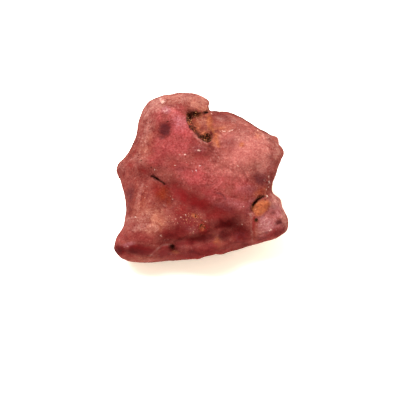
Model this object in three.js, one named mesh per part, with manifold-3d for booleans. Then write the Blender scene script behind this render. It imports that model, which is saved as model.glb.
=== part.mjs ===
// A rough rhodolite garnet: one water-worn crystal lump, 15 mm across, resting on a worn flat.
// Millimetres, +X to the right, +Y away from the broad face, +Z up, origin under the middle of the lump.
//
// The lump is drawn square to its broad face: x runs across the face, y up it and z out of it.
// That drawing is then laid back by faceTilt, and slumped by faceSlump, so that the lump lies on its flat.

import * as THREE from "three";
import { mergeVertices } from "three/addons/utils/BufferGeometryUtils.js";
import Module from "manifold-3d";

const wasm = await Module();
wasm.setup();

// Driving dimensions.
const faceTilt = THREE.MathUtils.degToRad(55); // the broad face's own plane against the upright
const faceSlump = 0.2; // how far the lump slides back for each millimetre up the face
const bulgeFront = 4.1; // from the rim out to the broad face
const bulgeBack = 5.6; // from the rim back to the unseen side, before the flat is worn off
const roundFront = 2.7; // 2 is an ellipse, and more is squarer
const roundBack = 2.3;
const flatBelowRim = 4.7; // depth of the worn flat under the middle of the rim
const plainRim = 6.9; // the rim's mean distance from the middle
const rimFade = 0.75; // how much of the rim's own waists and shoulders is gone where the lump is deepest
const blurAngle = THREE.MathUtils.degToRad(18); // notches narrower than this are gone a little way off the rim
const skinDetail = 17; // rows of facets on each side of the blank's 20 triangles
const ballDetail = 3; // the same for a pit or a grain
const waveHeight = 0.14; // the low swells that water wear leaves all over

// The rim, seen square to the broad face, from the left shoulder round by the top.
const rimPoints = [
  [-5.3, 5.2], // left shoulder
  [-4.6, 6.7],
  [-3.3, 7.4],
  [-1.6, 7.6], // crown
  [-0.1, 7.4],
  [0.6, 7.0],
  [0.95, 6.55], // tip of the crown, over the cleft
  [1.0, 6.15], // where the cleft leaves the rim
  [2.0, 6.02],
  [3.3, 5.6],
  [5.0, 4.5],
  [6.6, 3.75],
  [7.32, 2.4], // right shoulder
  [6.8, 1.3],
  [6.4, -0.1],
  [6.2, -1.0], // right waist
  [6.95, -1.5],
  [7.3, -2.5],
  [7.8, -3.8], // right foot
  [7.1, -4.8],
  [4.5, -5.7],
  [1.9, -6.5],
  [-0.9, -6.9],
  [-4.6, -7.2],
  [-6.8, -6.8],
  [-7.5, -5.8], // left foot
  [-6.7, -4.1],
  [-6.4, -2.4], // left waist
  [-6.8, -0.5],
  [-7.3, 1.1], // left horn
  [-6.3, 2.2],
  [-5.5, 3.8],
];

// Swells and hollows on the broad face: each lies along a line, with its half width and its height.
const faceRelief = [
  { name: "crown swell", from: [-3.6, 5.6], to: [-1.8, 6.2], width: 1.7, height: 0.7 },
  { name: "lip over the cleft", from: [-2.0, 5.2], to: [-0.2, 2.8], width: 0.9, height: 0.45 },
  { name: "cleft approach", from: [1.0, 5.6], to: [1.6, 4.2], width: 1.0, height: -0.6 },
  { name: "right shoulder swell", from: [2.8, 2.8], to: [5.2, 2.2], width: 1.9, height: 0.5 },
  { name: "horn rib", from: [-7.0, 1.2], to: [-5.2, 1.7], width: 0.8, height: 0.5 },
  { name: "seam hollow", from: [-5.4, 0.4], to: [-2.8, -0.4], width: 0.9, height: -0.5 },
  { name: "left foot swell", from: [-4.9, -2.6], to: [-4.6, -4.4], width: 1.6, height: 0.7 },
  { name: "left toe", from: [-6.6, -5.5], to: [-4.6, -5.4], width: 1.0, height: 0.6 },
  { name: "front hollow", from: [-1.9, -1.6], to: [2.9, -3.9], width: 1.2, height: -0.8 },
  { name: "middle knob", from: [-1.7, -3.6], to: [-0.6, -4.1], width: 0.9, height: 0.45 },
  { name: "crease over the ledge", from: [-2.6, -5.5], to: [2.9, -4.3], width: 0.9, height: -0.35 },
  { name: "base ledge", from: [-2.6, -6.2], to: [2.2, -5.8], width: 0.6, height: 0.6 },
  { name: "right waist hollow", from: [4.8, 0.6], to: [6.0, -0.9], width: 1.0, height: -0.8 },
  { name: "right foot swell", from: [6.0, -3.2], to: [6.6, -4.0], width: 1.1, height: 0.7 },
];

// The same for the unseen side, where a height is a depth further back.
const backRelief = [
  { name: "back ridge", from: [-3.8, 5.0], to: [4.2, 2.2], width: 1.7, height: 0.5 },
  { name: "back hollow", from: [-3.4, 1.0], to: [0.2, 2.6], width: 1.5, height: -0.7 },
  { name: "back scoop", from: [3.6, 4.2], to: [5.0, 3.2], width: 1.0, height: -0.5 },
  { name: "heel", from: [-5.0, -3.0], to: [-3.0, -1.4], width: 1.8, height: 0.5 },
  { name: "right heel", from: [3.4, -2.4], to: [5.0, -3.0], width: 1.6, height: 0.4 },
];

// Swells and hollows of the walls round the lump: each sits at an angle round the rim, in degrees, and at a
// height out of the rim's plane, and pushes the skin out from the lump's axis, or in where it is negative.
const wallRelief = [
  { name: "front scoop", angle: -112, out: 1.5, width: 1.5, push: -0.45 },
  { name: "front boss", angle: -84, out: 2.2, width: 1.2, push: 0.3 },
  { name: "front dip", angle: -60, out: 1.2, width: 1.6, push: -0.5 },
  { name: "left flank hollow", angle: 172, out: -2.4, width: 1.9, push: -0.9 },
  { name: "left foot hollow", angle: -135, out: -1.9, width: 1.5, push: -0.6 },
  { name: "right flank hollow", angle: 8, out: -2.2, width: 2.0, push: -0.7 },
  { name: "right foot hollow", angle: -32, out: -1.6, width: 1.3, push: -0.6 },
  { name: "crown hollow", angle: 112, out: -2.2, width: 1.7, push: -0.7 },
  { name: "back scoop", angle: 62, out: -1.8, width: 1.9, push: -0.9 },
];

// Old crystal faces, worn nearly flat, most of them on the sides that face away: each faces along its own
// direction and lies so far out from the middle of the rim, and wearRatio of what stands beyond it is gone.
const wearRatio = 0.8;
const wornFaces = [
  { name: "left flank face", facing: [-0.78, 0.16, 0.6], reach: 6.1 },
  { name: "back left face", facing: [-0.62, 0.3, -0.72], reach: 5.3 },
  { name: "back right face", facing: [0.66, 0.25, -0.71], reach: 5.2 },
  { name: "top face", facing: [0.08, 0.82, -0.56], reach: 5.6 },
  { name: "heel face", facing: [-0.2, -0.72, -0.66], reach: 6.8 },
  { name: "right heel face", facing: [0.62, -0.5, -0.6], reach: 6.5 },
];

// Pits: lumpy scoops, by the place of their middle and its depth under the skin, their half sizes, their turn
// about the way out of the face, and how far their left end then dips under the face, both in degrees.
const pits = [
  { name: "cleft", at: [-0.05, 4.75], under: 0.15, size: [1.15, 1.5, 0.85], turn: 42, dip: 24 },
  { name: "cleft head", at: [-0.8, 5.45], under: 0.4, size: [0.45, 0.5, 0.7], turn: 20, dip: 15 },
  { name: "cleft foot", at: [0.6, 3.6], under: 0.3, size: [0.4, 0.55, 0.75], turn: 40, dip: 10 },
  { name: "cleft floor", at: [0.35, 5.35], under: 0.05, size: [1.0, 0.75, 0.75], turn: 0, dip: 14 },
  { name: "cleft mouth", at: [0.7, 6.0], under: 0, size: [0.6, 0.2, 0.8], turn: -4, dip: 0 },
  { name: "notch", at: [1.3, 6.62], under: 0.5, size: [0.55, 0.5, 2.4], turn: 0, dip: 0 },
  { name: "seam", at: [-3.7, 0.0], under: 0.1, size: [0.75, 0.13, 0.6], turn: -33, dip: 0 },
  { name: "socket", at: [5.15, -2.2], under: 0.2, size: [1.05, 0.75, 0.85], turn: 38, dip: 8 },
  { name: "pinhole", at: [4.78, -3.46], under: 0, size: [0.18, 0.15, 0.45], turn: 30, dip: 0 },
  { name: "ledge pit", at: [-2.4, -5.75], under: 0, size: [0.3, 0.32, 0.6], turn: 0, dip: 0 },
];

// The long rounded grain that fills the lower right of the socket, and shares the lump's solid.
const socketGrain = { at: [5.3, -2.4], under: 0.5, size: [0.98, 0.62, 0.62], turn: 38, dip: 0 };

function solidOf(geometry) {
  geometry.deleteAttribute("normal");
  geometry.deleteAttribute("uv");
  const merged = mergeVertices(geometry, 1e-4);
  return new wasm.Manifold(
    new wasm.Mesh({
      numProp: 3,
      vertProperties: merged.attributes.position.array,
      triVerts: new Uint32Array(merged.index.array),
    }),
  );
}

function geometryOf(solid) {
  const { vertProperties, triVerts } = solid.getMesh();
  const geometry = new THREE.BufferGeometry();
  geometry.setAttribute("position", new THREE.BufferAttribute(vertProperties, 3));
  geometry.setIndex(new THREE.BufferAttribute(triVerts, 1));
  geometry.computeVertexNormals();
  return geometry;
}

// The rim's distance from the middle in each direction, read off a smooth closed curve.
const rimSteps = 720;
const rimByAngle = rimRadii();

function rimRadii() {
  const corners = rimPoints.map(([x, y]) => new THREE.Vector3(x, y, 0));
  const curve = new THREE.CatmullRomCurve3(corners, true, "centripetal");
  const samples = curve.getPoints(rimSteps).map((p) => ({
    angle: Math.atan2(p.y, p.x),
    radius: Math.hypot(p.x, p.y),
  }));
  return samples.sort((a, b) => a.angle - b.angle);
}

function rimRadius(angle) {
  const turned = Math.atan2(Math.sin(angle), Math.cos(angle));
  const after = rimByAngle.findIndex((s) => s.angle >= turned);
  if (after <= 0) return rimByAngle[0].radius;
  const [low, high] = [rimByAngle[after - 1], rimByAngle[after]];
  const share = (turned - low.angle) / Math.max(high.angle - low.angle, 1e-9);
  return THREE.MathUtils.lerp(low.radius, high.radius, Math.min(share, 1));
}

// The rim without its notches: its mean over blurAngle to each side.
function blurredRim(angle) {
  let sum = 0;
  for (let step = -5; step <= 5; step++) {
    sum += rimRadius(angle + (step / 5) * blurAngle);
  }
  return sum / 11;
}

function distanceToLine(x, y, from, to) {
  const [dx, dy] = [to[0] - from[0], to[1] - from[1]];
  const along = ((x - from[0]) * dx + (y - from[1]) * dy) / (dx * dx + dy * dy);
  const t = THREE.MathUtils.clamp(along, 0, 1);
  return Math.hypot(x - from[0] - t * dx, y - from[1] - t * dy);
}

function reliefAt(x, y, features) {
  let height = 0;
  for (const f of features) {
    const away = distanceToLine(x, y, f.from, f.to) / f.width;
    height += f.height * Math.exp(-away * away);
  }
  return height;
}

function swell(x, y, z) {
  const slow = Math.sin(1.1 * x + 0.7 * y + 0.4) + Math.sin(0.9 * y - 1.3 * z + 1.7);
  const quick = Math.sin(2.3 * x - 1.9 * y + 2.1 * z) + Math.sin(2.7 * z + 2.2 * y + 0.6);
  return waveHeight * (0.6 * slow + 0.4 * quick);
}

// How far the relief lifts a point of the smooth blank, which fades out towards the rim.
function lift(x, y, z) {
  const proud = Math.min(Math.abs(z) / (z >= 0 ? 0.45 * bulgeFront : 0.45 * bulgeBack), 1);
  const relief = reliefAt(x, y, z >= 0 ? faceRelief : backRelief) + swell(x, y, z);
  return Math.sign(z) * proud * relief;
}

// How far the walls' own relief pushes a point of the smooth blank out from the axis.
function wallPush(p) {
  return wallRelief.reduce((sum, { angle, out, width, push }) => {
    const round = THREE.MathUtils.degToRad(angle);
    const wall = rimRadius(round);
    const place = new THREE.Vector3(wall * Math.cos(round), wall * Math.sin(round), out);
    return sum + push * Math.exp(-place.distanceToSquared(p) / width ** 2);
  }, 0);
}

// Moves a point of the unit sphere onto the lump, in the broad face's drawing.
function shapeBlank(p) {
  const front = p.z >= 0;
  const power = front ? roundFront : roundBack;
  const angle = Math.atan2(p.y, p.x);
  const notchFade = THREE.MathUtils.smoothstep(Math.abs(p.z), 0.15, 0.5);
  const outline = THREE.MathUtils.lerp(rimRadius(angle), blurredRim(angle), notchFade);
  const deepFade = THREE.MathUtils.smoothstep(Math.abs(p.z), 0.1, 0.8);
  const rim = THREE.MathUtils.lerp(outline, plainRim, rimFade * deepFade);
  const across = Math.hypot(p.x, p.y) / rim;
  const out = Math.abs(p.z) / (front ? bulgeFront : bulgeBack);
  p.multiplyScalar((across ** power + out ** power) ** (-1 / power));
  const wide = Math.hypot(p.x, p.y);
  const push = wallPush(p);
  p.z += lift(p.x, p.y, p.z);
  if (wide > 1) p.multiply(new THREE.Vector3(1 + push / wide, 1 + push / wide, 1));
  for (const { facing, reach } of wornFaces) {
    const way = new THREE.Vector3(...facing).normalize();
    p.addScaledVector(way, -wearRatio * Math.max(p.dot(way) - reach, 0));
  }
  return p;
}

// Where the broad face's skin is, over a place in its drawing: the direction that lands there is searched for.
function skinOver([x, y]) {
  const p = new THREE.Vector3();
  const across = Math.hypot(x, y);
  let low = 0;
  let high = Math.PI / 2;
  for (let i = 0; i < 40; i++) {
    const rise = (low + high) / 2;
    p.set((x / across) * Math.cos(rise), (y / across) * Math.cos(rise), Math.sin(rise));
    shapeBlank(p);
    if (Math.hypot(p.x, p.y) > across) low = rise;
    else high = rise;
  }
  return p.z;
}

// Lays a point of the broad face's drawing down into the part's own frame.
function layDown(p) {
  const out = p.z - faceSlump * p.y;
  const y = p.y * Math.sin(faceTilt) - out * Math.cos(faceTilt);
  const z = p.y * Math.cos(faceTilt) + out * Math.sin(faceTilt);
  return p.set(p.x, y, z + flatBelowRim);
}

function movePoints(geometry, move) {
  const place = geometry.attributes.position;
  const p = new THREE.Vector3();
  for (let i = 0; i < place.count; i++) {
    move(p.fromBufferAttribute(place, i));
    place.setXYZ(i, p.x, p.y, p.z);
  }
  return geometry;
}

function blank() {
  return solidOf(movePoints(new THREE.IcosahedronGeometry(1, skinDetail), (p) => layDown(shapeBlank(p))));
}

// A lumpy ball in the broad face's drawing, stretched to its half sizes, turned and sunk under the skin.
function lumpyBall({ at, under, size, turn, dip }, detail, lumpiness) {
  const tip = THREE.MathUtils.degToRad(-dip);
  const swing = THREE.MathUtils.degToRad(turn);
  const middle = new THREE.Vector3(...at, skinOver(at) - under);
  const ball = movePoints(new THREE.IcosahedronGeometry(1, detail), (p) => {
    p.multiplyScalar(1 + lumpiness * Math.sin(4 * p.x + 1) * Math.sin(3 * p.y + 5 * p.z));
    p.set(p.x * size[0], p.y * size[1], p.z * size[2]);
    p.applyAxisAngle(new THREE.Vector3(0, 1, 0), tip);
    p.applyAxisAngle(new THREE.Vector3(0, 0, 1), swing);
    p.add(middle);
    layDown(p);
  });
  return solidOf(ball);
}

// Everything below the worn flat.
function underFlat() {
  const slab = new THREE.BoxGeometry(40, 40, 10);
  slab.translate(0, 0, -5);
  return solidOf(slab);
}

function garnetSolid() {
  let lump = blank().subtract(underFlat());
  for (const pit of pits) {
    lump = lump.subtract(lumpyBall(pit, ballDetail, 0.12));
  }
  lump = lump.add(lumpyBall(socketGrain, ballDetail, 0.05));
  // The grain can close off a crumb of air behind it, which the lump does without.
  return lump.decompose().reduce((a, b) => (a.volume() > b.volume() ? a : b));
}

function centred(solid) {
  const { min, max } = solid.boundingBox();
  return solid.translate([-(min[0] + max[0]) / 2, -(min[1] + max[1]) / 2, -min[2]]);
}

const garnetRed = new THREE.MeshStandardMaterial({ color: 0xa8424a, roughness: 0.45, metalness: 0 });

const garnet = new THREE.Mesh(geometryOf(centred(garnetSolid())), garnetRed);
garnet.name = "garnet";

const part = new THREE.Group();
part.add(garnet);

export default part;
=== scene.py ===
# A rough rhodolite garnet: a water-worn lump of rose red crystal, lying on its worn flat.
# Metres, +Z up. The stone's own trees work in millimetres, and the finished meshes go back to metres.
import math

import bpy
from mathutils import Matrix, Vector


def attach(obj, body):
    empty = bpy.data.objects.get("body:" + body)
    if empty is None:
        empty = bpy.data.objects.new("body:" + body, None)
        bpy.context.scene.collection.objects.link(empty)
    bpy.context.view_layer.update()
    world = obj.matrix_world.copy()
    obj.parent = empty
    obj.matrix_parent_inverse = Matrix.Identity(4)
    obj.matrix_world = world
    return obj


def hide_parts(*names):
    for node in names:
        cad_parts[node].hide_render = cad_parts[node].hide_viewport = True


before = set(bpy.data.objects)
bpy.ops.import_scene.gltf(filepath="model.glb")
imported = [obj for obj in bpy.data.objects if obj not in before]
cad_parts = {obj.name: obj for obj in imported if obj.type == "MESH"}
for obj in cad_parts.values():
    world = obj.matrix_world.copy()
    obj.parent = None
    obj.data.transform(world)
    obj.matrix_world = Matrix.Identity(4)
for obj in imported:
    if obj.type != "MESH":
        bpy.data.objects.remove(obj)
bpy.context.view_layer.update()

millimetre = 0.001

# The broad face leans back, and everything on it is placed by a drawing of it seen square on, in
# millimetres: x across, y up the face and z out of it.
face = {
    "lean": math.radians(55),  # from upright
    "middle": (-0.155, 0.431, 4.70),  # where the drawing's own middle lies in the part
}
faceRight = Vector((1, 0, 0))
faceUp = Vector((0, math.sin(face["lean"]), math.cos(face["lean"])))
faceOut = Vector((0, -math.cos(face["lean"]), math.sin(face["lean"])))


class Wire:  # a node's output that sums can be written with
    def __init__(self, graph, socket):
        self.graph = graph
        self.socket = socket

    def maths(self, operation, first, second=0.0):
        return self.graph.add("ShaderNodeMath", {"operation": operation}, {0: first, 1: second})

    def __add__(self, other):
        return self.maths("ADD", self, other)

    def __sub__(self, other):
        return self.maths("SUBTRACT", self, other)

    def __rsub__(self, other):
        return self.maths("SUBTRACT", other, self)

    def __mul__(self, other):
        return self.maths("MULTIPLY", self, other)

    def __truediv__(self, other):
        return self.maths("DIVIDE", self, other)

    def __pow__(self, other):
        return self.maths("POWER", self, other)

    def __neg__(self):
        return self.maths("MULTIPLY", self, -1.0)

    def cosine(self):
        return self.maths("COSINE", self)

    def sine(self):
        return self.maths("SINE", self)

    __radd__ = __add__
    __rmul__ = __mul__

    def most(self, other):
        return self.maths("MAXIMUM", self, other)

    def least(self, other):
        return self.maths("MINIMUM", self, other)


class Graph:  # a node tree of a material, of a world or of Geometry Nodes
    def __init__(self, tree):
        self.tree = tree

    # Adds a node: its settings first, then the values or links of its sockets.
    def add(self, kind, settings=None, inputs=None, output=0):
        node = self.tree.nodes.new(kind)
        for name, value in (settings or {}).items():
            setattr(node, name, value)
        for key, value in (inputs or {}).items():
            self.feed(node.inputs[key], value)
        return Wire(self, node.outputs[output])

    def feed(self, socket, value):
        if isinstance(value, Wire):
            self.tree.links.new(value.socket, socket)
        else:
            socket.default_value = value

    def vector(self, operation, first, second):
        output = 1 if operation in ("DOT_PRODUCT", "LENGTH") else 0
        return self.add("ShaderNodeVectorMath", {"operation": operation}, {0: first, 1: second}, output)

    def scaled(self, vector, amount):
        return self.add("ShaderNodeVectorMath", {"operation": "SCALE"}, {0: vector, "Scale": amount})

    # Smoothly 0 at low and 1 at high.
    def step(self, value, low, high):
        settings = {"interpolation_type": "SMOOTHSTEP"}
        return self.add("ShaderNodeMapRange", settings, {"Value": value, "From Min": low, "From Max": high})

    # Cloudy noise about 0, whose lumps are about size across.
    def noise(self, place, size, detail=2.0, warp=0.0):
        inputs = {"Vector": place, "Scale": 1 / size, "Detail": detail, "Distortion": warp}
        return self.add("ShaderNodeTexNoise", {}, inputs) * 2 - 1

    # A vector of three such noises, each reaching about as far as reach.
    def drift(self, place, size, reach):
        inputs = {"Vector": place, "Scale": 1 / size, "Detail": 2.0}
        colour = self.add("ShaderNodeTexNoise", {}, inputs, "Color")
        return self.scaled(self.vector("SUBTRACT", colour, (0.5, 0.5, 0.5)), 2 * reach)

    # One output of a cell pattern with cells about size across.
    def cells(self, place, size, output="Distance"):
        return self.add("ShaderNodeTexVoronoi", {}, {"Vector": place, "Scale": 1 / size}, output)

    # The first colour, turned into the second as amount goes from 0 to 1.
    def mix(self, amount, first, second):
        return self.add("ShaderNodeMix", {"data_type": "RGBA"}, {0: amount, 6: first, 7: second}, 2)


# Outlines on the drawing of what is cut out of the broad face.
outlines = {
    "cleft": [
        (-1.2, 5.25), (-1.02, 4.85), (-0.85, 4.45), (-0.5, 4.05), (-0.1, 3.63), (0.25, 3.34), (0.6, 3.18),
        (0.93, 3.3), (1.07, 3.55), (1.5, 3.9), (1.8, 4.9), (1.3, 6.1), (0.72, 6.02), (0.7, 5.9), (0.35, 5.95),
        (-0.25, 5.78), (-0.5, 5.92), (-0.75, 5.75), (-0.95, 5.5),
    ],
    "socket": [
        (4.25, -2.95), (4.12, -2.5), (4.3, -2.05), (4.62, -1.78), (5.2, -1.43), (5.6, -1.3), (5.95, -1.5),
        (6.12, -1.9), (5.95, -2.35), (5.6, -2.9), (5.1, -3.25), (4.7, -3.2),
    ],
}

# How the cuts are made, in millimetres. A floor's height is how far it stands out of the drawing.
carving = {
    "passes": 8,  # smoothing passes, done twice so that the lump keeps its size
    "wall": 0.17,  # how far in from its outline a cut reaches its floor
    "cleftTop": 5.4,  # up the drawing
    "cleftFloor": 1.12,  # at the top of the cleft
    "cleftFall": 0.42,  # how much higher the floor is for each millimetre down the face
    "cleftRise": 1.3,  # how much higher it is where it runs out at the right
    "socketFloor": 3.4,
    "socketFall": 0.4,  # how much lower the floor is for each millimetre over the grain
    "socketShelf": 3.85,  # at the left end of the socket
    "grainHeight": 0.5,
}

# The rounded grain that fills the socket, by its half sizes and its turn in degrees.
grain = {"at": (5.22, -2.4), "long": 1.12, "wide": 0.78, "turn": 34}

# Round dents, each by its place across and up the drawing, its size and its depth.
dents = {
    "cleft head": (-0.92, 5.38, 0.3, 0.35),
    "cleft foot": (0.62, 3.6, 0.36, 0.4),
    "pinhole": (4.79, -3.47, 0.15, 0.4),
    "ledge pit": (-2.28, -5.75, 0.22, 0.4),
    "upper crater": (-0.42, -2.95, 0.22, 0.13),
    "lower crater": (0.16, -4.12, 0.26, 0.14),
    "seam ring": (-4.1, 0.85, 0.17, 0.1),
}

# Bumps and bites in the rim, each by its place across and up the drawing, its size and how far it pushes
# out from the middle of the face, or in where negative.
edgeBites = {
    "crown": (-1.2, 7.5, 2.4, 0.16),
    "crown tip": (0.8, 6.8, 0.4, 0.08),
    "notch": (0.88, 6.12, 0.3, -0.32),
    "crown edge": (0.25, 6.1, 0.55, -0.3),
    "left shoulder": (-5.2, 5.2, 2.4, 0.08),
    "right slope": (4.3, 5.2, 2.0, 0.18),
    "belly": (0.9, -6.7, 0.8, -0.3),
    "right sole": (4.1, -6.0, 1.6, 0.1),
    "right foot": (7.4, -2.9, 1.1, -0.15),
    "right toe": (7.6, -4.6, 0.5, 0.1),
    "left foot": (-6.9, -4.5, 1.2, -0.07),
    "left slope": (-6.4, 2.5, 1.3, 0.11),
    "left crown": (-4.15, 7.0, 0.6, 0.05),
    "crown dip": (-2.55, 7.5, 0.5, -0.12),
    "slope top": (2.5, 5.95, 0.8, 0.11),
    "upper bite": (6.2, 3.95, 0.3, -0.05),
    "upper bump": (6.75, 3.75, 0.4, 0.16),
    "middle bite": (7.0, 3.2, 0.22, -0.06),
    "lower bump": (7.3, 2.5, 0.4, 0.07),
    "lower bite": (7.05, 1.75, 0.28, -0.06),
    "right waist": (6.7, 1.2, 1.2, 0.17),
    "horn": (-7.3, 1.1, 0.8, 0.14),
}
notchSide = (0.95, 6.42, 0.24, -0.18)  # pushes to the right, or to the left where negative

# Lines on the broad face: cracks, lips and creases. Each has its half width, how far it lifts the skin, or
# sinks it where negative, the stain along it and that stain's strength, and its points on the drawing.
faceLines = {
    # dark dirt and painted shade in the seam's slit
    "seam": (0.075, -0.3, "soot", 0.58, [
        (-4.15, 0.28), (-3.9, 0.22), (-3.65, 0.1), (-3.45, -0.1), (-3.05, -0.42),
    ]),
    "seam tail": (0.08, -0.06, "deep", 0.5, [(-3.05, -0.42), (-2.6, -0.9), (-2.35, -1.5)]),
    # painted highlight along the lit lip of the cleft
    "cleft lip": (0.09, 0.06, "pale", 0.55, [
        (-1.28, 4.85), (-1.0, 4.3), (-0.35, 3.66), (0.15, 3.2), (0.6, 3.02),
    ]),
    # painted shade: under the cleft's lip, under the crown's edge, and in the socket's slot above the grain
    "cleft shade": (0.13, -0.1, "soot", 0.6, [
        (-1.1, 5.2), (-0.98, 4.85), (-0.78, 4.45), (-0.4, 4.05), (-0.02, 3.66), (0.3, 3.42), (0.8, 3.4),
    ]),
    "crown shade": (0.045, -0.08, "soot", 0.75, [
        (-0.4, 5.8), (-0.2, 5.74), (0.1, 5.84), (0.4, 5.92), (0.7, 5.88),
    ]),
    "socket shade": (0.05, 0.0, "soot", 0.3, [(4.6, -2.1), (4.7, -1.9), (5.0, -1.66)]),
    "socket corner": (0.1, -0.1, "soot", 0.55, [(4.95, -1.72), (5.25, -1.5), (5.6, -1.38)]),
    # painted shade along the crease over the ledge
    "crease over the ledge": (0.3, -0.1, "dark", 0.5, [
        (-2.0, -5.4), (-0.9, -5.15), (0.0, -4.95), (0.9, -4.6), (1.6, -4.3),
    ]),
    "ledge crack": (0.07, -0.07, "pale", 0.8, [
        (-2.5, -5.6), (-3.05, -5.55), (-3.4, -5.75), (-3.95, -6.2), (-4.2, -6.5),
    ]),
    "ledge crack end": (0.06, -0.05, "peach", 0.6, [(-3.75, -6.05), (-3.65, -6.45), (-3.45, -6.85)]),
    # painted shade along the underside of the toe
    "toe crease": (0.05, -0.06, "dark", 0.45, [(-6.2, -6.3), (-5.4, -6.35), (-4.7, -6.55), (-4.1, -6.5)]),
    "flank streak": (0.1, 0.03, "pale", 0.5, [(-4.95, -0.4), (-5.15, -1.3), (-5.3, -2.2), (-5.25, -2.7)]),
    "lobe streak": (0.07, 0.03, "pale", 0.6, [(-6.2, -3.35), (-5.6, -3.22), (-5.0, -3.3), (-4.3, -3.2)]),
    "lobe curl": (0.07, 0.03, "pale", 0.7, [
        (-4.9, -4.15), (-4.3, -4.05), (-3.9, -3.95), (-3.55, -4.15), (-3.7, -4.4),
    ]),
    "hollow arc": (0.06, -0.05, "plum", 0.6, [(1.45, -1.15), (1.85, -1.25), (2.2, -1.7)]),
    "hollow scratch": (0.05, -0.03, "plum", 0.35, [(-0.35, -0.6), (0.5, -0.55), (1.3, -0.35)]),
    "flank crinkle": (0.07, 0.05, "pale", 0.7, [
        (-4.45, 4.9), (-4.6, 4.4), (-4.55, 3.8), (-4.75, 3.3), (-4.6, 2.7), (-4.75, 2.2),
    ]),
    "flank line": (0.06, -0.04, "deep", 0.45, [
        (-4.9, 4.6), (-5.1, 3.8), (-5.25, 3.2), (-5.5, 2.7), (-5.75, 2.2),
    ]),
    "horn line": (0.06, 0.04, "pale", 0.6, [(-6.2, 1.6), (-5.6, 1.95), (-5.2, 1.75), (-4.75, 1.9)]),
    "slope edge": (0.06, 0.0, "plum", 0.75, [
        (1.2, 5.95), (1.93, 6.03), (2.81, 5.9), (3.51, 5.56), (4.21, 5.06), (5.09, 4.5), (6.3, 3.9),
    ]),
    "socket crack": (0.06, -0.08, "pale", 0.5, [(4.35, -2.9), (4.45, -3.6), (4.4, -4.4), (4.5, -5.2)]),
    "rust run": (0.2, -0.05, "amber", 0.45, [(4.75, -3.7), (4.7, -4.3), (4.6, -5.0)]),
    "cleft rust": (0.12, 0.0, "rust", 0.7, [
        (0.75, 5.4), (0.95, 4.75), (1.18, 4.05), (1.42, 3.35), (1.6, 2.9),
    ]),
    "golden streak": (0.042, 0.04, "bright", 0.9, [(1.95, 4.2), (2.4, 4.17), (2.85, 4.27)]),
    # painted highlights along the right waist
    "waist glint": (0.04, 0.05, "bright", 0.52, [(5.98, 0.4), (5.86, -0.05), (6.05, -0.35), (5.9, -0.7)]),
    "waist edge": (0.04, 0.0, "bright", 0.5, [(5.55, 0.0), (5.75, -0.5), (5.7, -1.0)]),
    # painted highlight along the lit edges of the curl
    "curl": (0.08, 0.05, "mauve", 0.5, [
        (3.25, -5.3), (3.15, -4.85), (3.45, -4.6), (3.75, -4.68), (3.8, -5.0),
    ]),
    # painted highlight along the lit edge of the right sole
    "sole line": (0.06, 0.0, "pale", 0.7, [(4.9, -5.85), (5.8, -5.62), (6.6, -5.25), (7.2, -4.9)]),
    "streak shade": (0.04, -0.03, "soot", 0.4, [(1.85, 4.4), (2.5, 4.45)]),
}

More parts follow.
